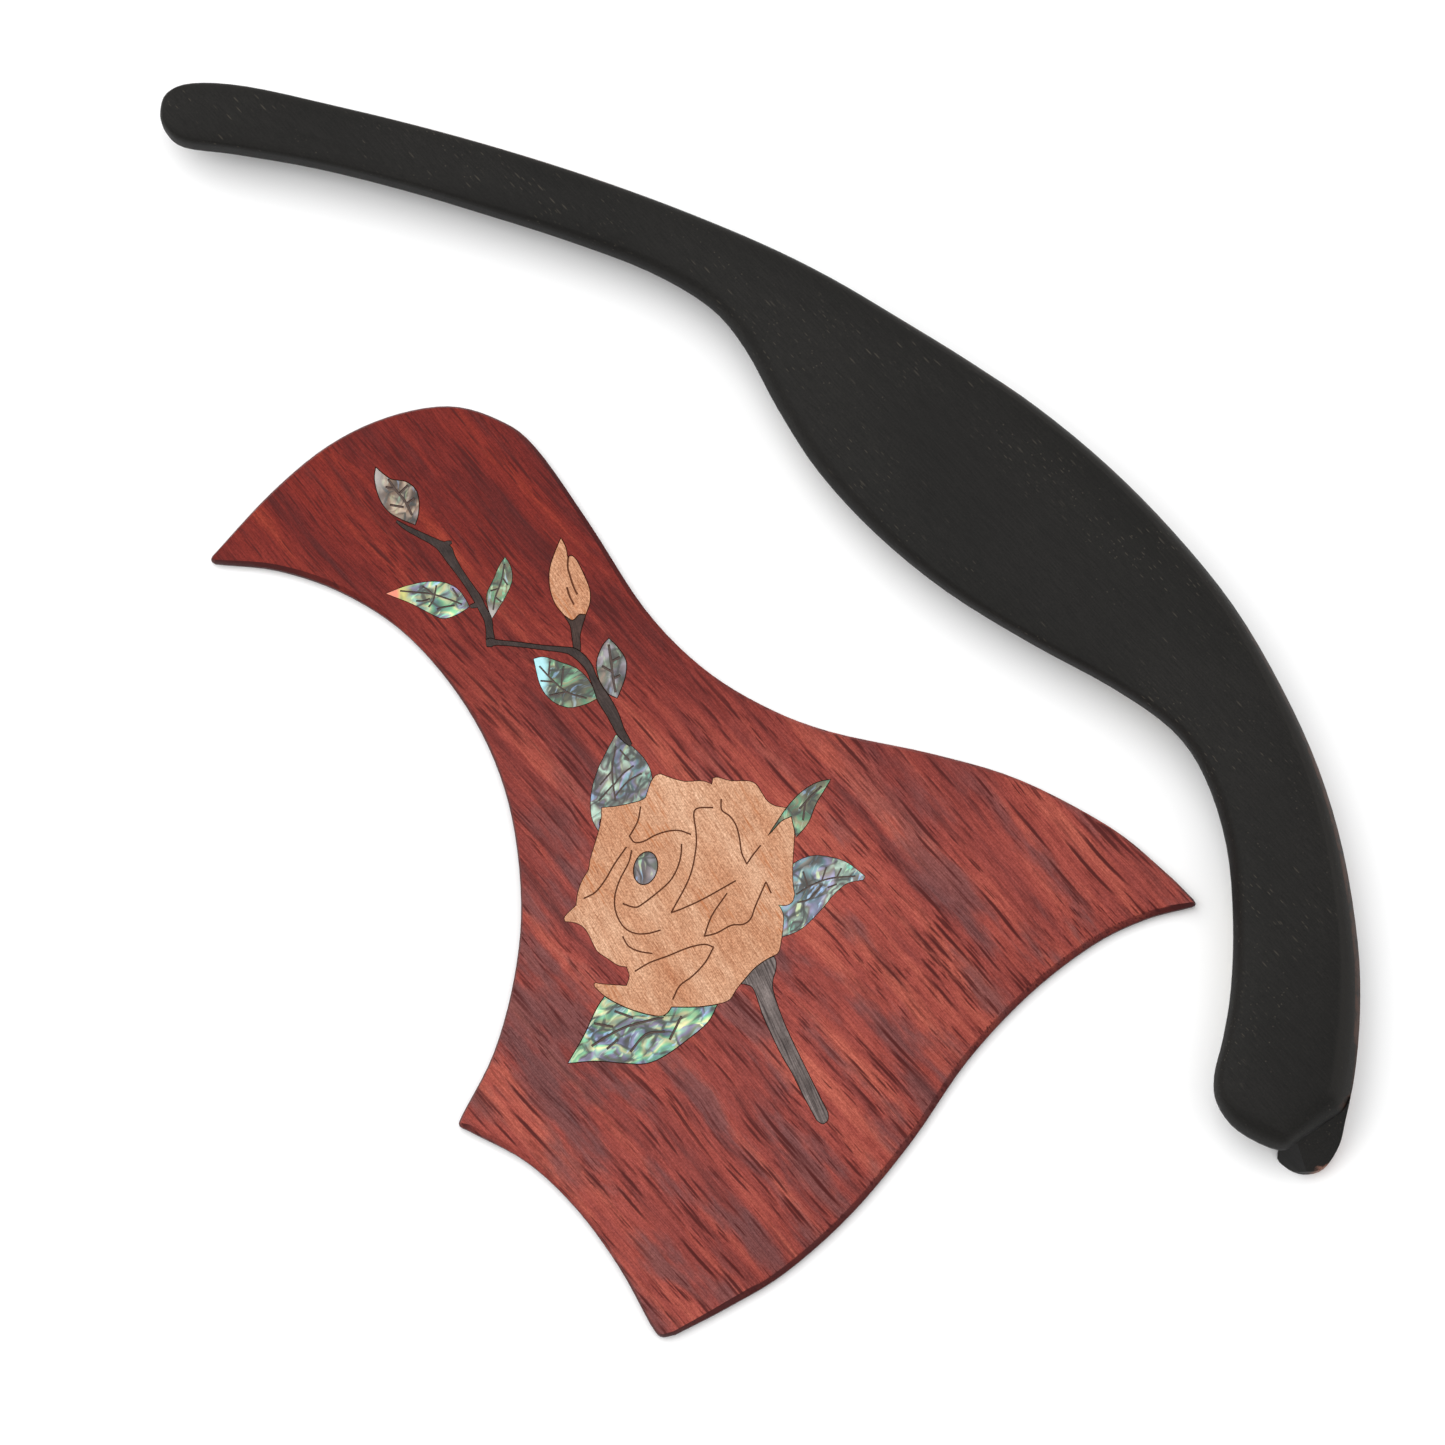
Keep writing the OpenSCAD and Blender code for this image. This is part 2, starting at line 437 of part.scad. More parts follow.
module board() {
    n = len(board_outline);
    half = n / 2;
    rim_top = board_top - board_crown;
    roll_h = [for (p = board_outline) min(roll_steepness * p[2] + roll_least, roll_most)];
    rings = concat(
        [at_height(board_outline, board_z)],
        [for (r = roll) let (ring = shifted(board_outline, -r[0]))
            [for (i = [0 : n - 1]) [ring[i][0], ring[i][1], rim_top - roll_h[i] * (1 - r[1])]]]
    );
    rim = rings[len(rings) - 1];
    middle = [for (i = [0 : half])
        let (facing = rim[(n - i) % n], m = (rim[i] + facing) / 2, w = norm(rim[i] - facing))
        [m[0], m[1], rim_top + board_crown * min(1, w / crown_span)]];
    dome = [for (share = [0.4, 0.75]) [for (i = [0 : n - 1])
        let (m = middle[i <= half ? i : n - i], rise = 1 - pow(1 - share, 2))
            [rim[i][0] + (m[0] - rim[i][0]) * share, rim[i][1] + (m[1] - rim[i][1]) * share,
             rim_top + (m[2] - rim_top) * rise]]];
    all = concat(rings, dome);
    last = len(all) - 1;
    seam = (last + 1) * n;
    polyhedron(
        points = concat([for (r = all) each r], middle),
        faces = concat(
            [for (i = [0 : half - 1])
                let (p = (n - i) % n, q = n - i - 1)
                    each i == 0 ? [[i, i + 1, q]]
                        : i == half - 1 ? [[i, i + 1, p]] : [[i, i + 1, q], [i, q, p]]],
            [for (k = [0 : last - 1]) for (i = [0 : n - 1])
                let (j = (i + 1) % n, a = k * n, b = a + n)
                    each [[a + i, b + i, b + j], [a + i, b + j, a + j]]],
            [for (i = [0 : n - 1])
                let (j = (i + 1) % n, a = last * n, p = seam + (i <= half ? i : n - i),
                     q = seam + (j <= half ? j : n - j))
                    each p == q ? [[a + i, p, a + j]] : [[a + i, p, q], [a + i, q, a + j]]]
        ),
        convexity = 8
    );
}

// The lip follows the outer edge from near the thin end to just past the board's elbow end.
lip_line = concat([for (i = [2 : side - 4]) outer_edge[i]], [[99.4, -72.3]]);
lip_end = [[98.4, -76.2], [96, -79.8], [92.6, -80.7], [89.6, -79.5], [88.2, -77]];
lip_tip = [-101.2, 106.8];
lip_rise = 0.9;                         // the lip's bare end stands this much above the board's underside
bare_below = -66;                       // the lip is bare from here towards the elbow, measured along Y

module lip() {
    skin = 0.15;                        // the lip's outer face is set in by this much from the board's
    thin_share = 0.5;                   // thickness at the thin end, as a share of lip_w
    grown_at = 0.45;                    // share of the lip's length after which it has its full thickness
    spine = curve(flat(lip_line), 4);
    n = len(spine);
    thick = [for (i = [0 : n - 1]) lip_w * (thin_share + (1 - thin_share) * min(1, i / (grown_at * n)))];
    inward = [for (i = [0 : n - 1])
        let (a = spine[max(i - 1, 0)], b = spine[min(i + 1, n - 1)]) -left_of(unit(b - a))];
    far = [for (i = [0 : n - 1]) spine[i] + inward[i] * skin];
    near = [for (i = [n - 1 : -1 : 0]) spine[i] + inward[i] * thick[i]];
    elbow = run(concat([far[n - 1]], lip_end, [near[0]]), 4);
    thin = run([near[n - 1], lip_tip, far[0]], 3);
    outline = concat([for (i = [0 : n - 2]) far[i]], elbow, [for (i = [1 : n - 2]) near[i]], thin);
    span = 150;
    difference() {
        prism(outline, 0, board_z + lip_rise);
        translate([-span, bare_below, board_z]) cube([2 * span, 2 * span, 2 * lip_rise]);
        prism(flat(board_outline), board_z, board_top);
        falling([91.7, -77], -45, 68);      // steep end beside the board's corner
        falling([94, -73.7], 34, 42);       // slope that carries on the board's rounding
    }
}

// Cuts away what lies above a plane through p at the top of the lip's bare end. The plane falls away by
// steepness degrees in the direction that lies turn degrees from -Y.
module falling(p, turn, steepness) {
    reach = 20;
    translate([p[0], p[1], board_z + lip_rise])
        rotate(turn)
            rotate([steepness, 0, 0])
                translate([-reach, -reach, 0])
                    cube([2 * reach, reach, reach]);
}

// Middle of the whole set, which every node is moved to.
rest_x = [for (p = board_outline) p[0]];
rest_y = [for (p = board_outline) p[1]];
guard_y = [for (p = guard_outline) p[1]];
centre = [(min(rest_x) + max(rest_x)) / 2, (min(guard_y) + max(rest_y)) / 2];

module placed() {
    translate([-centre[0], -centre[1], 0]) children();
}

// ---- adhesive ----

// Tape strips: [centre x, centre y, length, angle].
guard_strips = [[-66, 38, 34, 22], [-30, -12, 52, -62], [22, -28, 56, -20], [-2, -82, 44, 43]];
rest_strips = [[24, 43.5, 34, -42], [64, 12.5, 32, -48], [87, -46, 30, -90]];
rest_tape_w = 7;

module strips(list, width, z0, z1) {
    for (s = list)
        translate([s[0], s[1], z0])
            rotate(s[3])
                translate([-s[2] / 2, -width / 2, 0])
                    cube([s[2], width, z1 - z0]);
}

// ---- nodes ----

module pickguard_plate() {
    color("firebrick")
        placed() difference() {
            plate_blank();
            inlay(rose_outline, inlay_gap);
            inlay(stem_outline, inlay_gap);
            inlay(bud_outline, inlay_gap);
            inlay(calyx_outline, inlay_gap);
            twigs(upper_twigs, inlay_gap);
            twigs(lower_twigs, inlay_gap);
            for (leaf = leaf_shapes) inlay(leaf[0], inlay_gap);
        }
}
module rose_bloom() {
    color("burlywood")
        placed() difference() {
            inlay(rose_outline);
            heart(inlay_gap);
            inlay(leaf_thorn_shape[0], inlay_gap);
            lines(rose_lines, line_w);
        }
}
module rose_heart() { color("slategray") placed() heart(); }
module rose_stem() {
    color("dimgray")
        placed() difference() {
            inlay(stem_outline);
            inlay(rose_outline, inlay_gap);
        }
}
module rosebud() {
    color("burlywood")
        placed() difference() {
            inlay(bud_outline);
            lines(bud_lines, line_w);
        }
}
module bud_calyx() {
    color("dimgray")
        placed() difference() {
            inlay(calyx_outline);
            inlay(bud_outline, inlay_gap);
            twigs(lower_twigs, inlay_gap);
        }
}
module branch_upper() {
    color("dimgray")
        placed() difference() {
            twigs(upper_twigs);
            twigs(lower_twigs, inlay_gap);
        }
}
module branch_lower() { color("dimgray") placed() twigs(lower_twigs); }
module leaf_top() { shell_leaf(leaf_top_shape); }
module leaf_left() { shell_leaf(leaf_left_shape); }
module leaf_inner() { shell_leaf(leaf_inner_shape); }
module leaf_fork_left() { shell_leaf(leaf_fork_left_shape); }
module leaf_fork_right() { shell_leaf(leaf_fork_right_shape); }
module leaf_shoulder() { shell_leaf(leaf_shoulder_shape); }
module leaf_thorn() {
    color("lightseagreen")
        placed() difference() {
            inlay(leaf_thorn_shape[0]);
            lines(leaf_thorn_shape[1], vein_w);
        }
}
module leaf_right() { shell_leaf(leaf_right_shape); }
module leaf_bottom() { shell_leaf(leaf_bottom_shape); }
module pickguard_tape() { color("gainsboro") placed() strips(guard_strips, tape_w, liner_t, guard_z); }
module pickguard_liner() { color("khaki") placed() strips(guard_strips, tape_w, 0, liner_t); }
module armrest_board() { color([0.12, 0.11, 0.1]) placed() board(); }
module armrest_lip() { color([0.2, 0.13, 0.1]) placed() lip(); }
module armrest_tape() {
    color("gainsboro") placed() strips(rest_strips, rest_tape_w, board_z - tape_t, board_z);
}
module armrest_liner() {
    color("khaki") placed() strips(rest_strips, rest_tape_w, board_z - tape_t - liner_t, board_z - tape_t);
}

pickguard_plate();
rose_bloom();
rose_heart();
rose_stem();
rosebud();
bud_calyx();
branch_upper();
branch_lower();
leaf_top();
leaf_left();
leaf_inner();
leaf_fork_left();
leaf_fork_right();
leaf_shoulder();
leaf_thorn();
leaf_right();
leaf_bottom();
pickguard_tape();
pickguard_liner();
armrest_board();
armrest_lip();
armrest_tape();
armrest_liner();
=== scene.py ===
"""Looks of the acoustic guitar pickguard and armrest set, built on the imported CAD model."""

import json
import math

import bmesh
import bpy
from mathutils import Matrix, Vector


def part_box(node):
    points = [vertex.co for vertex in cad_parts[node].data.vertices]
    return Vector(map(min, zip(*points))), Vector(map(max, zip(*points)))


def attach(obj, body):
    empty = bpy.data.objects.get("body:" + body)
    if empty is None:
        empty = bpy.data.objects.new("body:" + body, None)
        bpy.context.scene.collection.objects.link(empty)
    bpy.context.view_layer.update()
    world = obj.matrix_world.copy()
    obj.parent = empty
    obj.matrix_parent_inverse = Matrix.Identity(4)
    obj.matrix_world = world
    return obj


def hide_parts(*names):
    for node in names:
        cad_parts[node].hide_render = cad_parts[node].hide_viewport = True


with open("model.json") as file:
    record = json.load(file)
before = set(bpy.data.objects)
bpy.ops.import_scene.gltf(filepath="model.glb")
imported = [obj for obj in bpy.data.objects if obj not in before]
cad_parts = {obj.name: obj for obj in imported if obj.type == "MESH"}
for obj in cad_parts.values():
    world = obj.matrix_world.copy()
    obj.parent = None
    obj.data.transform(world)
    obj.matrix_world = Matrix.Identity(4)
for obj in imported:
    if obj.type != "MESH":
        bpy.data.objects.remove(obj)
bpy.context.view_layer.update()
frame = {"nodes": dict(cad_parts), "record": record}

MM = 0.001
NODES = frame["nodes"]


# ---- camera, light and floor ----

CAMERA_TARGET = Vector((-5.0, -3.4, 2.0)) * MM
CAMERA_RISE = math.radians(78)          # above the horizon
FLOOR_HALF = 4.0                        # half of the floor's side, in metres


def look_at(thing, target):
    thing.rotation_euler = (target - thing.location).to_track_quat("-Z", "Y").to_euler()


def add_camera():
    """Looks down on the set from one metre away."""
    data = bpy.data.cameras.new("camera")
    data.sensor_width = 36.0
    data.lens = 144.0
    data.clip_start = 0.01
    camera = bpy.data.objects.new("camera", data)
    bpy.context.scene.collection.objects.link(camera)
    camera.location = CAMERA_TARGET + Vector((0, -math.cos(CAMERA_RISE), math.sin(CAMERA_RISE)))
    look_at(camera, CAMERA_TARGET)
    bpy.context.scene.camera = camera


def add_light(name, place, size, power):
    """A soft round light that shines at the middle of the part."""
    data = bpy.data.lights.new(name, "AREA")
    data.shape = "DISK"
    data.size = size
    data.energy = power
    light = bpy.data.objects.new(name, data)
    bpy.context.scene.collection.objects.link(light)
    light.location = place
    look_at(light, Vector((0, 0, 0)))


def add_sky():
    """White light from all round, weaker overhead than at the horizon."""
    world = bpy.data.worlds.new("studio")
    bpy.context.scene.world = world
    world.use_nodes = True
    tree = world.node_tree
    sky = tree.nodes.new("ShaderNodeTexCoord").outputs["Generated"]
    split = tree.nodes.new("ShaderNodeSeparateXYZ")
    fade = tree.nodes.new("ShaderNodeMapRange")
    for key, number in (("From Min", 0.0), ("From Max", 1.0), ("To Min", 0.95), ("To Max", 0.30)):
        fade.inputs[key].default_value = number
    tree.links.new(sky, split.inputs[0])
    tree.links.new(split.outputs["Z"], fade.inputs["Value"])
    tree.links.new(fade.outputs["Result"], tree.nodes["Background"].inputs["Strength"])
    tree.nodes["Background"].inputs["Color"].default_value = (1, 1, 1, 1)


def add_floor():
    bm = bmesh.new()
    signs = ((-1, -1), (1, -1), (1, 1), (-1, 1))
    bm.faces.new([bm.verts.new((x * FLOOR_HALF, y * FLOOR_HALF, 0)) for x, y in signs])
    mesh = bpy.data.meshes.new("floor")
    bm.to_mesh(mesh)
    bm.free()
    floor = bpy.data.objects.new("floor", mesh)
    bpy.context.scene.collection.objects.link(floor)
    g = Graph("floor_paper")
    tone = g.ramp(g.noise(g.point, 9.0), [(0.3, grey(0.93)), (0.7, grey(0.96))])
    floor.data.materials.append(g.done(tone, 0.9))


def add_stage():
    add_sky()
    add_light("key", (-0.9, 0.5, 1.5), size=2.6, power=34.0)
    add_light("fill", (0.9, 0.1, 1.5), size=2.4, power=14.0)
    add_floor()
    bpy.context.scene.view_settings.view_transform = "Standard"


# ---- node graphs ----

# The inlay's common top face, the height under which an edge or a cut line counts as burnt, and
# the height over which the burn sets in.
INLAY_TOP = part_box("rose_bloom")[1].z
BURNT_BELOW = INLAY_TOP - 0.03 * MM
BURN_FADE = 0.02 * MM


def grey(level):
    return (level, level, level)


class Graph:
    """One material's node graph. Lengths are metres in the part's own frame."""

    def __init__(self, name):
        self.material = bpy.data.materials.new(name)
        self.material.use_nodes = True
        self.tree = self.material.node_tree
        self.tree.nodes.clear()
        self.point = self.add("ShaderNodeTexCoord").outputs["Object"]

    def add(self, kind, **settings):
        node = self.tree.nodes.new(kind)
        for key, value in settings.items():
            setattr(node, key, value)
        return node

    def feed(self, socket, value):
        """Links another node's output to a socket, or sets the socket to a plain value."""
        if isinstance(value, bpy.types.NodeSocket):
            self.tree.links.new(value, socket)
        elif isinstance(value, tuple) and len(value) == 3 and socket.type == "RGBA":
            socket.default_value = (*value, 1)
        else:
            socket.default_value = value

    def math(self, operation, a, b):
        node = self.add("ShaderNodeMath", operation=operation)
        self.feed(node.inputs[0], a)
        self.feed(node.inputs[1], b)
        return node.outputs[0]

    def plus(self, a, b):
        return self.math("ADD", a, b)

    def minus(self, a, b):
        return self.math("SUBTRACT", a, b)

    def times(self, product, *factors):
        for factor in factors:
            product = self.math("MULTIPLY", product, factor)
        return product

    def larger(self, a, b):
        return self.math("MAXIMUM", a, b)

    def between(self, value, low, high):
        """0 below low, 1 above high, and smooth between them. low may be the larger."""
        node = self.add("ShaderNodeMapRange", interpolation_type="SMOOTHSTEP")
        flip = low > high
        for key, number in (("From Min", min(low, high)), ("From Max", max(low, high)),
                            ("To Min", 1.0 if flip else 0.0), ("To Max", 0.0 if flip else 1.0)):
            node.inputs[key].default_value = number
        self.feed(node.inputs["Value"], value)
        return node.outputs["Result"]

    def mix(self, share, a, b, blend="MIX"):
        """Goes from colour a to colour b. Inputs 6 and 7 and output 2 are the node's colours."""
        node = self.add("ShaderNodeMix", data_type="RGBA", blend_type=blend)
        self.feed(node.inputs["Factor"], share)
        self.feed(node.inputs[6], a)
        self.feed(node.inputs[7], b)
        return node.outputs[2]

    def ramp(self, value, stops):
        node = self.add("ShaderNodeValToRGB")
        elements = node.color_ramp.elements
        while len(elements) < len(stops):
            elements.new(0.5)
        for element, (place, colour) in zip(elements, stops):
            element.position = place
            element.color = (*colour, 1)
        self.feed(node.inputs[0], value)
        return node.outputs[0]

    def toned(self, colour, share, value, *stops):
        """The colour multiplied by a ramp over value, as strongly as share says."""
        return self.mix(share, colour, self.ramp(value, stops), "MULTIPLY")

    def along(self, degrees, length, width, start=(0, 0, 0), point=None):
        """The point measured along and across a grain direction, in units of length and width."""
        node = self.add("ShaderNodeMapping", vector_type="TEXTURE")
        self.feed(node.inputs["Vector"], point or self.point)
        node.inputs["Location"].default_value = start
        node.inputs["Rotation"].default_value = (0, 0, math.radians(degrees))
        node.inputs["Scale"].default_value = (length, width, width)
        return node.outputs["Vector"]

    def noise(self, point, scale=1.0, detail=2.0, rough=0.5, output="Fac"):
        node = self.add("ShaderNodeTexNoise")
        self.feed(node.inputs["Vector"], point)
        node.inputs["Scale"].default_value = scale
        node.inputs["Detail"].default_value = detail
        node.inputs["Roughness"].default_value = rough
        return node.outputs[output]

    def cells(self, point, scale=1.0, feature="F1", output="Distance"):
        node = self.add("ShaderNodeTexVoronoi", feature=feature)
        self.feed(node.inputs["Vector"], point)
        node.inputs["Scale"].default_value = scale
        return node.outputs[output]

    def warped(self, point, scale, amount, detail=2.0):
        """The point pushed about by noise, amount metres at most."""
        push = self.add("ShaderNodeVectorMath", operation="SUBTRACT")
        self.feed(push.inputs[0], self.noise(point, scale, detail, output="Color"))
        push.inputs[1].default_value = (0.5, 0.5, 0.5)
        scaled = self.add("ShaderNodeVectorMath", operation="SCALE")
        self.feed(scaled.inputs[0], push.outputs[0])
        scaled.inputs["Scale"].default_value = 2 * amount
        moved = self.add("ShaderNodeVectorMath", operation="ADD")
        self.feed(moved.inputs[0], point)
        self.feed(moved.inputs[1], scaled.outputs[0])
        return moved.outputs[0]

    def axis(self, source, letter):
        node = self.add("ShaderNodeSeparateXYZ")
        self.feed(node.inputs[0], source)
        return node.outputs[letter]

    def facing(self, direction):
        """1 on a face that points along a unit direction, 0 on one that stands edge on to it."""
        node = self.add("ShaderNodeVectorMath", operation="DOT_PRODUCT")
        self.feed(node.inputs[0], self.add("ShaderNodeNewGeometry").outputs["Normal"])
        node.inputs[1].default_value = direction
        return node.outputs["Value"]

    def dashes(self, point, degrees, length, width, size, start):
        """Short tapering marks along the grain: 1 on a mark, 0 off it.

        size is the share of one length and width that a mark takes."""
        spots = self.cells(self.along(degrees, length, width, start, point))
        core = 0.45 * size
        return self.between(spots, size, core)

    def patches(self, degrees, length, width, start, low, high):
        """A slow mask that gathers marks into some stretches of the grain and leaves others clear."""
        return self.between(self.noise(self.along(degrees, length, width, start)), low, high)

    def burnt(self, colour, char):
        """Turns what lies under the inlay's top face, sawn edges and cut lines, to the colour char."""
        height = self.axis(self.point, "Z")
        return self.mix(self.between(height, BURNT_BELOW + BURN_FADE, BURNT_BELOW), colour, char)

    def done(self, colour, rough, bump=None, depth=0.0, **plain):
        """The finished material. bump is a height, of which 1 stands depth metres tall."""
        shader = self.add("ShaderNodeBsdfPrincipled")
        self.feed(shader.inputs["Base Color"], colour)
        self.feed(shader.inputs["Roughness"], rough)
        for key, value in plain.items():
            shader.inputs[key.replace("_", " ")].default_value = value
        if bump is not None:
            node = self.add("ShaderNodeBump")
            node.inputs["Strength"].default_value = 1.0
            node.inputs["Distance"].default_value = depth
            self.feed(node.inputs["Height"], bump)
            self.tree.links.new(node.outputs[0], shader.inputs["Normal"])
        out = self.add("ShaderNodeOutputMaterial")
        self.tree.links.new(shader.outputs[0], out.inputs["Surface"])
        return self.material


# ---- materials ----

# Directions that tell which faces get painted shade or painted sheen, and which are worn or bare.
UP = (0, 0, 1)
RIGHT = (1, 0, 0)
SHADY_SIDE = (0.8, -0.6, 0)             # the side of the plate where its bevel gets painted shade
OUTWARD = (0.8, 0.6, 0)                 # from the armrest's hollow edge to its bulging one

# Abalone is cut into cells of this size, and one step of a leaf's seed moves its pattern this far.
SHELL_CELL = 3.0 * MM
SEED_STEP = 0.013


def red_wood():
    """Red hardwood: long bands, fine fibres, dark tapering streaks and open pores.

    It carries painted sheen towards the bottom of the plate, lighter and hazier there."""
    g = Graph("red_wood")
    grain = -49
    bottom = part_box("pickguard_plate")[0].y
    sheen_fade = (bottom + 119.6 * MM, bottom + 44.6 * MM)
    veil_fade = (bottom + 114.6 * MM, bottom + 74.6 * MM)
    bent = g.warped(g.point, 22.0, 2.4 * MM)
    frayed = g.warped(bent, 900.0, 0.06 * MM)

    # Bands of red, deeper at the plate's top and lighter towards its bottom, where the lightening is
    # painted sheen. Each band turns lighter at a height of its own.
    band = g.noise(g.along(grain, 70 * MM, 5 * MM, point=bent), 1.0, 6.0, 0.65)
    upper = g.ramp(band, [
        (0.34, (0.078, 0.009, 0.008)), (0.45, (0.130, 0.011, 0.008)),
        (0.55, (0.175, 0.015, 0.009)), (0.68, (0.25, 0.027, 0.012)),
    ])
    lower = g.ramp(band, [
        (0.34, (0.125, 0.026, 0.023)), (0.45, (0.225, 0.040, 0.032)),
        (0.54, (0.290, 0.052, 0.038)), (0.66, (0.38, 0.082, 0.054)),
    ])
    fade_place = g.plus(g.axis(bent, "Y"), g.times(band, -50 * MM))
    colour = g.mix(g.between(fade_place, *sheen_fade), upper, lower)

    # Painted sheen as a dull veil towards the bottom, and dark smoke everywhere, both drawn out along the
    # grain.
    veil_noise = g.noise(g.along(grain, 26 * MM, 7 * MM, (0.4, 0.1, 0), bent), 1.0, 4.0, 0.6)
    painted_veil = g.times(g.between(veil_noise, 0.47, 0.62), g.between(g.axis(g.point, "Y"), *veil_fade))
    colour = g.mix(g.times(painted_veil, 0.7), colour, (0.125, 0.050, 0.050))
    smoke = g.noise(g.along(grain, 22 * MM, 2.4 * MM, (0.2, 0.7, 0), bent), 1.0, 5.0, 0.65)
    colour = g.mix(g.times(g.between(smoke, 0.54, 0.68), 0.45), colour, (0.050, 0.010, 0.010))

    fibre = g.noise(g.along(grain, 7 * MM, 0.16 * MM, point=frayed), 1.0, 4.0, 0.7)
    colour = g.toned(colour, 0.9, fibre, (0.34, (0.62, 0.50, 0.50)), (0.66, (1.30, 1.45, 1.45)))
    speckle = g.noise(g.point, 3500.0, 2.0, 0.6)
    colour = g.toned(colour, 0.8, speckle, (0.3, (0.72, 0.66, 0.66)), (0.7, (1.24, 1.34, 1.34)))

    streaks = [
        # length, width, size, start, strength, patch low and high
        (26 * MM, 1.20 * MM, 0.36, (0.00, 0.00, 0), 0.95, 0.46, 0.57),
        (14 * MM, 0.85 * MM, 0.38, (0.31, 0.17, 0), 0.90, 0.43, 0.57),
        (7 * MM, 0.50 * MM, 0.38, (0.62, 0.45, 0), 0.80, 0.40, 0.60),
    ]
    pits = 0.0
    for length, width, size, start, strength, low, high in streaks:
        streak = g.dashes(frayed, grain, length, width, size, start)
        streak = g.times(streak, g.patches(grain, 2 * length, 8 * width, start, low, high))
        colour = g.mix(g.times(streak, strength), colour, (0.062, 0.006, 0.005))
        pits = g.larger(pits, streak)

    # Painted shade: the steep sides are darkened, and so is the bevel on the side that faces away from the
    # light.
    up = g.facing(UP)
    colour = g.mix(g.between(up, 0.60, 0.30), colour, (0.070, 0.009, 0.007))
    shady = g.times(g.between(up, 0.95, 0.80), g.between(g.facing(SHADY_SIDE), 0.02, 0.30))
    colour = g.mix(g.times(shady, 0.9), colour, (0.045, 0.007, 0.007))

    rough = g.ramp(fibre, [(0.3, grey(0.60)), (0.7, grey(0.48))])
    relief = g.minus(g.times(fibre, 0.25), pits)
    return g.done(colour, rough, relief, 0.04 * MM, Specular_IOR_Level=0.14)


def maple():
    """Pale maple with fine slanting grain, bunched orange flecks, and burnt saw lines."""
    g = Graph("maple")
    grain = -57
    bent = g.warped(g.point, 60.0, 0.6 * MM)
    wide = g.noise(g.along(grain, 24 * MM, 6 * MM, point=bent), 1.0, 3.0, 0.6)
    colour = g.ramp(wide, [
        (0.3, (0.46, 0.19, 0.09)), (0.5, (0.53, 0.265, 0.145)), (0.7, (0.62, 0.355, 0.215)),
    ])
    fibre = g.noise(g.along(grain, 3.2 * MM, 0.12 * MM, point=bent), 1.0, 4.0, 0.75)
    colour = g.toned(colour, 0.95, fibre, (0.34, (0.56, 0.42, 0.33)), (0.62, (1.18, 1.27, 1.36)))
    speckle = g.noise(g.point, 3000.0, 2.0, 0.6)
    colour = g.toned(colour, 0.9, speckle, (0.3, (0.66, 0.60, 0.55)), (0.7, (1.28, 1.34, 1.4)))

    flecks = [
        # length, width, size, start
        (8.0 * MM, 0.75 * MM, 0.40, (0.0, 0.0, 0)),
        (4.0 * MM, 0.50 * MM, 0.40, (0.4, 0.2, 0)),
    ]
    bunches = g.patches(grain, 14 * MM, 6 * MM, (0.3, 0.2, 0), 0.50, 0.62)
    for length, width, size, start in flecks:
        fleck = g.times(g.dashes(bent, grain, length, width, size, start), bunches)
        colour = g.mix(g.times(fleck, 0.7), colour, (0.40, 0.13, 0.040))
    colour = g.burnt(colour, (0.15, 0.045, 0.016))
    return g.done(colour, 0.6, fibre, 0.012 * MM, Specular_IOR_Level=0.2)


def dark_wood(name, light, dark, grain, length=4.0 * MM, width=0.16 * MM):
    """Dark inlaid twig wood, with grain along the twig. Its fibres are length long and width wide."""
    g = Graph(name)
    fibre = g.noise(g.along(grain, length, width), 1.0, 4.0, 0.75)
    colour = g.ramp(fibre, [(0.36, dark), (0.64, light)])
    cloud = g.noise(g.point, 300.0, 3.0, 0.6)
    colour = g.toned(colour, 0.8, cloud, (0.3, (0.6, 0.58, 0.58)), (0.7, grey(1.3)))
    speckle = g.noise(g.point, 3600.0, 2.0, 0.6)
    colour = g.toned(colour, 0.8, speckle, (0.3, grey(0.75)), (0.7, grey(1.25)))
    colour = g.burnt(colour, (0.030, 0.017, 0.014))
    return g.done(colour, 0.6, fibre, 0.02 * MM, Specular_IOR_Level=0.15)


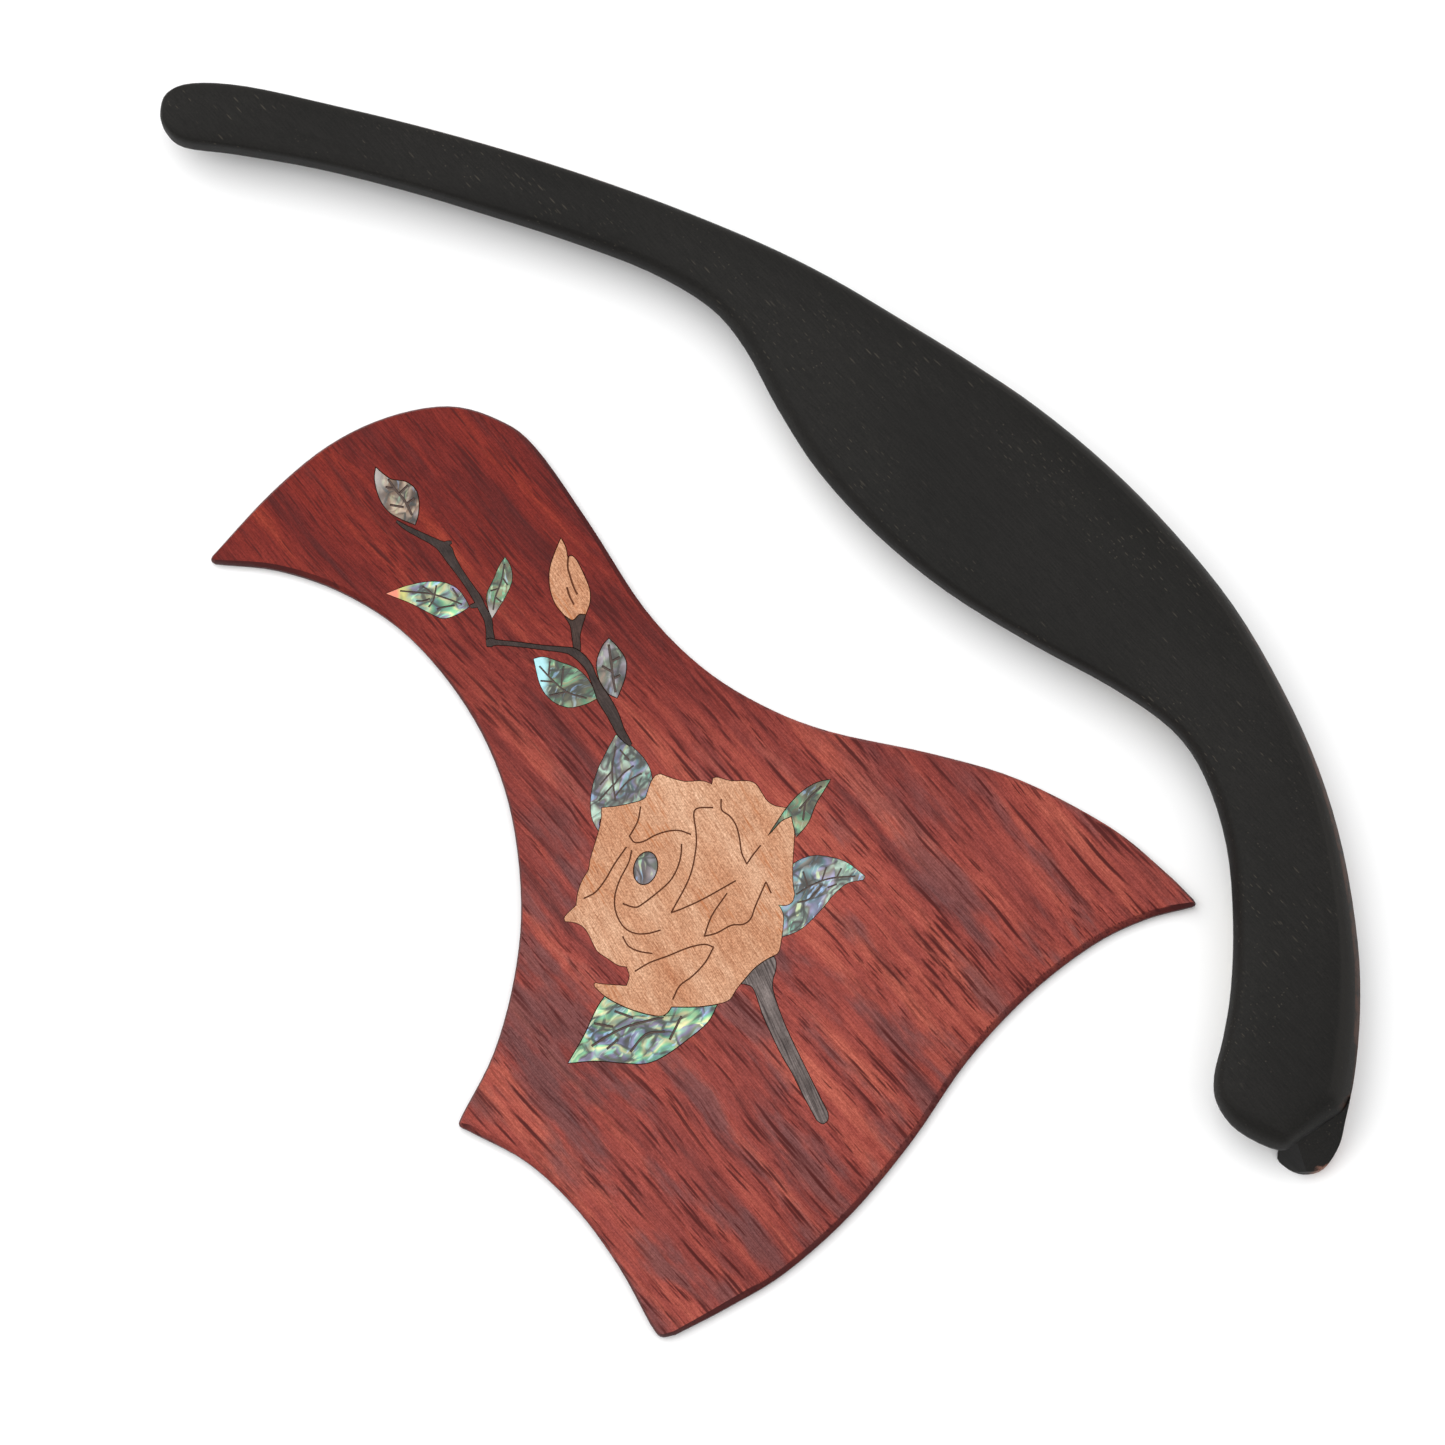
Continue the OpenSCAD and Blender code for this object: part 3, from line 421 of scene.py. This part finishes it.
def shell(name, seed, palette, flash, lean, tips):
    """Abalone: colours that flow through the palette in folded bands, with dark seams between folds.

    flash is the strength of the painted glints, bright painted highlights, and lean the direction of the
    cells in degrees.
    Each of tips is (axis letter, low, high, colour): the leaf turns to that colour from low to high."""
    g = Graph(name)
    shift = g.add("ShaderNodeVectorMath", operation="ADD")
    g.feed(shift.inputs[0], g.point)
    shift.inputs[1].default_value = tuple(SEED_STEP * s for s in seed)
    base = shift.outputs[0]
    folded = g.warped(g.warped(base, 150.0, 1.8 * MM, 1.0), 700.0, 0.22 * MM, 1.0)
    grid = g.along(lean, SHELL_CELL * 1.5, SHELL_CELL * 0.85, point=folded)

    # The place in the palette flows slowly, and each cell adds a step of its own.
    own = g.axis(g.cells(grid, output="Color"), "X")
    flow = g.noise(grid, 0.8, 1.5, 0.4)
    place = g.math("PINGPONG", g.plus(g.times(flow, 2.4), g.times(own, 0.5)), 1.0)
    step = 0.96 / (len(palette) - 1)
    colour = g.ramp(place, [(0.02 + step * i, tint) for i, tint in enumerate(palette)])
    depth = g.noise(folded, 330.0, 1.5, 0.5)
    colour = g.toned(colour, 0.9, depth,
                     (0.34, grey(0.22)), (0.5, (0.64, 0.62, 0.58)), (0.66, (1.25, 1.22, 1.12)))

    # Painted highlights: bright glints laid into the colour in streaks across the cells.
    glint_lean = lean + 25
    glow = g.noise(g.along(glint_lean, 3.0 * MM, 0.7 * MM, (0.01, 0.02, 0), folded))
    glint = g.ramp(flow, [
        (0.38, (0.18, 0.62, 0.46)), (0.5, (0.60, 0.70, 0.36)), (0.62, (0.32, 0.50, 0.78)),
    ])
    colour = g.mix(g.times(g.between(glow, 0.54, 0.68), flash), colour, glint)
    rims = g.cells(grid, feature="DISTANCE_TO_EDGE")
    seam = g.times(g.between(rims, 0.10, 0.03), g.between(depth, 0.66, 0.46))
    colour = g.mix(g.times(seam, 0.85), colour, (0.030, 0.032, 0.028))
    for letter, low, high, tint in tips:
        moved = SEED_STEP * seed["XYZ".index(letter)]
        share = g.between(g.axis(folded, letter), low + moved, high + moved)
        colour = g.mix(g.times(share, g.between(depth, 0.2, 0.5)), colour, tint)

    colour = g.burnt(colour, (0.060, 0.028, 0.018))
    ridge = g.plus(rims, g.times(glow, 0.4))
    return g.done(colour, 0.25, ridge, 0.008 * MM,
                  Specular_IOR_Level=0.3, Coat_Weight=0.08, Coat_Roughness=0.1)


def black_wood(name, black_under=0.45, raw_below=None):
    """Black stained wood: faint open grain, brown wear on its rim, and bare wood at a worn bottom edge,
    with painted sheen on its outer slope and painted shade on its steep faces.

    Faces that point up by less than black_under get painted shade, at its darkest.
    The bottom edge is bare up to about raw_below, and only where that height is given."""
    g = Graph(name)
    grain = -48
    cloud = g.noise(g.along(grain, 40 * MM, 18 * MM), 1.0, 3.0)
    colour = g.ramp(cloud, [(0.3, (0.0052, 0.0048, 0.0040)), (0.7, (0.0085, 0.0078, 0.0068))])
    fibre = g.noise(g.along(grain, 4 * MM, 0.2 * MM), 1.0, 4.0, 0.75)
    colour = g.toned(colour, 0.7, fibre, (0.34, grey(0.6)), (0.66, (1.45, 1.42, 1.4)))
    speckle = g.noise(g.point, 3200.0, 2.0, 0.6)
    colour = g.toned(colour, 0.8, speckle, (0.3, grey(0.65)), (0.7, grey(1.35)))

    scratches = [
        # length, width, size, start
        (5 * MM, 0.9 * MM, 0.20, (0.0, 0.0, 0)),
        (2.6 * MM, 0.6 * MM, 0.22, (0.4, 0.7, 0)),
        (1.2 * MM, 1.1 * MM, 0.16, (0.2, 0.3, 0)),
    ]
    marks = 0.0
    for length, width, size, start in scratches:
        mark = g.dashes(g.point, grain, length, width, size, start)
        mark = g.times(mark, g.patches(grain, 18 * MM, 10 * MM, start, 0.50, 0.66))
        marks = g.larger(marks, mark)
    colour = g.mix(g.times(marks, 0.35), colour, (0.085, 0.072, 0.055))

    # The outer slope is paler, partly rubbed wear and partly painted sheen; steep faces get the darkest
    # painted shade; and handling has browned the rim.
    up = g.facing(UP)
    outer = g.between(g.facing(OUTWARD), 0.05, 0.35)
    rubbed_and_sheen = g.times(outer, g.between(up, 0.99, 0.93))
    colour = g.mix(g.times(rubbed_and_sheen, 0.45), colour, (0.022, 0.020, 0.018))
    colour = g.mix(g.between(up, black_under, black_under - 0.25), colour, (0.0025, 0.0022, 0.0018))
    ragged = g.noise(g.warped(g.point, 220.0, 1.0 * MM), 420.0, 5.0, 0.65)
    handled = g.between(g.noise(g.point, 28.0), 0.42, 0.58)
    rim = g.times(g.between(up, 0.02, 0.15), g.between(up, 0.60, 0.53))
    wear = g.times(rim, outer, g.between(ragged, 0.34, 0.58), handled)
    colour = g.mix(g.times(wear, 0.6), colour, (0.075, 0.032, 0.020))

    if raw_below is not None:
        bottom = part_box("armrest_lip")[0].y
        elbow_end = g.between(g.axis(g.point, "Y"), bottom + 9.8 * MM, bottom + 1.8 * MM)
        frayed = g.plus(g.axis(g.point, "Z"), g.times(ragged, 2.4 * MM))
        frayed = g.minus(frayed, g.times(elbow_end, 1.9 * MM))
        bare = g.between(frayed, raw_below + 2.1 * MM, raw_below + 1.6 * MM)
        bare = g.times(bare, g.between(g.facing(RIGHT), 0.0, 0.3), g.larger(elbow_end, handled))
        raw = g.ramp(fibre, [(0.3, (0.10, 0.040, 0.028)), (0.7, (0.28, 0.145, 0.105))])
        colour = g.mix(bare, colour, raw)

    rough = g.ramp(fibre, [(0.3, grey(0.66)), (0.7, grey(0.54))])
    relief = g.minus(g.times(fibre, 0.4), marks)
    return g.done(colour, rough, relief, 0.03 * MM, Specular_IOR_Level=0.17)


def paper():
    g = Graph("liner_paper")
    fibre = g.noise(g.point, 1500.0, 4.0, 0.7)
    blotch = g.noise(g.point, 60.0)
    colour = g.ramp(blotch, [(0.3, (0.72, 0.62, 0.40)), (0.7, (0.80, 0.71, 0.49))])
    colour = g.toned(colour, 0.3, fibre, (0.3, grey(0.85)), (0.7, grey(1.1)))
    return g.done(colour, 0.55, fibre, 0.01 * MM)


def tape():
    g = Graph("tape_foam")
    bubble = g.cells(g.point, 2500.0)
    colour = g.ramp(bubble, [(0.1, (0.68, 0.68, 0.66)), (0.6, (0.84, 0.84, 0.82))])
    return g.done(colour, 0.8, bubble, 0.02 * MM)


# ---- geometry ----

WELD_GAP = 0.002 * MM                   # vertices nearer than this are one
COPLANAR = math.radians(0.4)            # faces that turn by less than this are one
CREASE = math.radians(32)               # an edge that turns by more than this stays crisp
RIM_ANGLE = math.radians(50)            # a rim's edges turn by more than this
RIM_DEPTH = 0.01 * MM                   # and lie no deeper than this under the top
INLAY_SOFTEN = 0.08 * MM                # width of the bevel round maple and shell
TWIG_SOFTEN = 0.06 * MM                 # and round the twigs


def soften_rim(bm, width):
    """Bevels the sharp edges of the top face."""
    top = max(v.co.z for v in bm.verts) - RIM_DEPTH
    rim = [e for e in bm.edges if e.calc_face_angle(0) > RIM_ANGLE and min(v.co.z for v in e.verts) > top]
    bmesh.ops.bevel(bm, geom=rim, offset=width, segments=1, profile=0.5, affect="EDGES", clamp_overlap=True)


def refined(node, material, soften=0.0):
    """A finished copy of a CAD node: coplanar facets joined, the top rim softened, faces smoothed."""
    bm = bmesh.new()
    source = NODES[node].data.copy()
    if "custom_normal" in source.attributes:
        source.attributes.remove(source.attributes["custom_normal"])
    bm.from_mesh(source)
    bmesh.ops.remove_doubles(bm, verts=bm.verts, dist=WELD_GAP)
    bmesh.ops.dissolve_limit(bm, angle_limit=COPLANAR, verts=bm.verts, edges=bm.edges)
    if soften:
        soften_rim(bm, soften)
    bmesh.ops.triangulate(bm, faces=[f for f in bm.faces if len(f.verts) > 4])
    for face in bm.faces:
        face.smooth = True
    for edge in bm.edges:
        edge.smooth = edge.calc_face_angle(math.pi) < CREASE
    mesh = bpy.data.meshes.new(node + "_look")
    bm.to_mesh(mesh)
    bm.free()
    bpy.data.meshes.remove(source)
    mesh.materials.append(material)
    piece = bpy.data.objects.new(node + "_look", mesh)
    bpy.context.scene.collection.objects.link(piece)
    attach(piece, body_of(node))
    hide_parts(node)


def body_of(node):
    bodies = frame["record"]["behaviour"]["bodies"]
    return next(body for body, members in bodies.items() if node in members)


def clothe(node, material):
    """Gives a CAD node that stays as it is its material."""
    mesh = NODES[node].data
    mesh.materials.clear()
    mesh.materials.append(material)


# ---- the set ----

# Shell colours, each list in the order in which they fade into one another.
BRIGHT = [
    (0.06, 0.07, 0.06), (0.22, 0.22, 0.42), (0.12, 0.34, 0.28), (0.22, 0.54, 0.30),
    (0.66, 0.64, 0.36), (0.24, 0.46, 0.38), (0.27, 0.23, 0.42), (0.15, 0.18, 0.13),
]
GREEN = [
    (0.04, 0.05, 0.035), (0.13, 0.13, 0.08), (0.08, 0.22, 0.13), (0.20, 0.18, 0.11),
    (0.15, 0.36, 0.22), (0.06, 0.07, 0.055),
]
BLUE = [
    (0.07, 0.07, 0.06), (0.19, 0.17, 0.16), (0.13, 0.27, 0.31), (0.28, 0.27, 0.46),
    (0.17, 0.15, 0.13), (0.34, 0.48, 0.42), (0.10, 0.09, 0.09),
]
GREY = [
    (0.055, 0.036, 0.027), (0.20, 0.125, 0.085), (0.44, 0.34, 0.27), (0.14, 0.085, 0.06),
    (0.28, 0.24, 0.24),
]
DUSK = [
    (0.07, 0.052, 0.05), (0.17, 0.135, 0.14), (0.24, 0.22, 0.27), (0.10, 0.12, 0.10),
    (0.19, 0.14, 0.115),
]

# Colours of the leaves' tips.
SALMON = (0.72, 0.22, 0.14)
YELLOW = (0.52, 0.50, 0.15)
PALE = (0.36, 0.33, 0.31)
CYAN = (0.36, 0.66, 0.70)

# node: seed, palette, strength of the painted glints, lean of the cells in degrees
SHELLS = {
    "leaf_top": ((1, 4, 0), GREY, 0.30, 55),
    "leaf_left": ((7, 2, 0), BRIGHT, 0.9, 15),
    "leaf_inner": ((3, 9, 0), GREEN, 0.7, 65),
    "leaf_fork_left": ((12, 5, 0), GREEN, 0.45, 25),
    "leaf_fork_right": ((5, 14, 0), DUSK, 0.25, 70),
    "leaf_shoulder": ((9, 11, 0), BLUE, 0.35, 60),
    "leaf_thorn": ((15, 3, 0), GREEN, 0.4, 50),
    "leaf_right": ((2, 17, 0), BLUE, 0.8, 35),
    "leaf_bottom": ((18, 8, 0), BRIGHT, 0.7, 20),
    "rose_heart": ((6, 6, 0), DUSK, 0.6, 60),
}


def leaf_tips(node):
    """The ends of leaves that show another colour: axis, where it starts, where it is complete, colour."""
    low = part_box(node)[0]
    return {
        "leaf_left": [("X", low.x + 4.6 * MM, low.x + 2.2 * MM, YELLOW),
                      ("X", low.x + 2.0 * MM, low.x + 1.0 * MM, SALMON)],
        "leaf_fork_left": [("X", low.x + 2.4 * MM, low.x + 0.8 * MM, CYAN)],
        "leaf_top": [("X", low.x + 2.6 * MM, low.x - 0.4 * MM, PALE)],
        "leaf_inner": [("Y", low.y + 3.0 * MM, low.y + 0.6 * MM, PALE)],
    }.get(node, [])


def build_pickguard():
    refined("pickguard_plate", red_wood())
    pale_wood = maple()
    for node in ("rose_bloom", "rosebud"):
        refined(node, pale_wood, INLAY_SOFTEN)
    stem_wood = dark_wood("grey_wood", (0.20, 0.165, 0.155), (0.040, 0.030, 0.028), -66, 9 * MM, 0.34 * MM)
    refined("rose_stem", stem_wood, TWIG_SOFTEN)
    calyx_wood = dark_wood("brown_wood", (0.068, 0.042, 0.034), (0.027, 0.016, 0.013), -80)
    refined("bud_calyx", calyx_wood, TWIG_SOFTEN)
    twig_wood = dark_wood("dark_wood", (0.056, 0.040, 0.036), (0.024, 0.016, 0.014), -60)
    for node in ("branch_upper", "branch_lower"):
        refined(node, twig_wood, TWIG_SOFTEN)
    for node, (seed, palette, flash, lean) in SHELLS.items():
        refined(node, shell(node + "_shell", seed, palette, flash, lean, leaf_tips(node)), INLAY_SOFTEN)


def build_armrest():
    refined("armrest_board", black_wood("black_wood"))
    # The lip's steep faces get painted shade up to a flatter slope than the board's.
    refined("armrest_lip", black_wood("black_wood_lip", black_under=0.62, raw_below=0.6 * MM))


def clothe_undersides():
    foam = tape()
    liner = paper()
    for side in ("pickguard", "armrest"):
        clothe(side + "_tape", foam)
        clothe(side + "_liner", liner)


add_camera()
add_stage()
build_pickguard()
build_armrest()
clothe_undersides()
